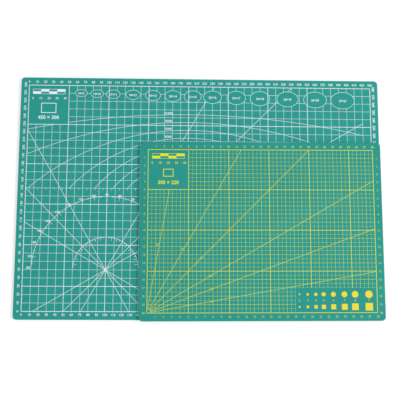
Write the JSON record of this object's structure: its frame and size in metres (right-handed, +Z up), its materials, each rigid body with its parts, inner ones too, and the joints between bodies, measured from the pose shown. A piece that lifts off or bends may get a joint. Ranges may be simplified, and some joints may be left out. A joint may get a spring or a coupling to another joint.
{
  "type": "cutting mat set",
  "caption": "Flat self-healing cutting mats in a large and a small size, printed with grids, rulers and angle guides; the small mat lies loose on a corner of the large one.",
  "frame": {"origin": "centre of the large mat's underside", "axes": "+X along the large mat's long side, +Y towards its back edge, +Z up from the table"},
  "size_m": [0.4513, 0.3014, 0.0061],
  "materials": {
    "soft_pvc": "fine matte grain",
    "core_pvc": "cut edge",
    "white_ink": "screen print",
    "yellow_ink": "screen print"
  },
  "bodies": {
    "large_mat": {"large_bottom_ply": "soft_pvc", "large_core_ply": "core_pvc", "large_top_ply": "soft_pvc", "large_line_print": "white_ink", "large_template_print": "white_ink"},
    "small_mat": {"small_bottom_ply": "soft_pvc", "small_core_ply": "core_pvc", "small_top_ply": "soft_pvc", "small_line_print": "yellow_ink", "small_gauge_print": "yellow_ink"}
  },
  "joints": [
    {"name": "small_mat_lift", "type": "slide", "parent": "large_mat", "child": "small_mat", "axis": [0, 0, 1], "range_m": [0, 0.12]}
  ]
}
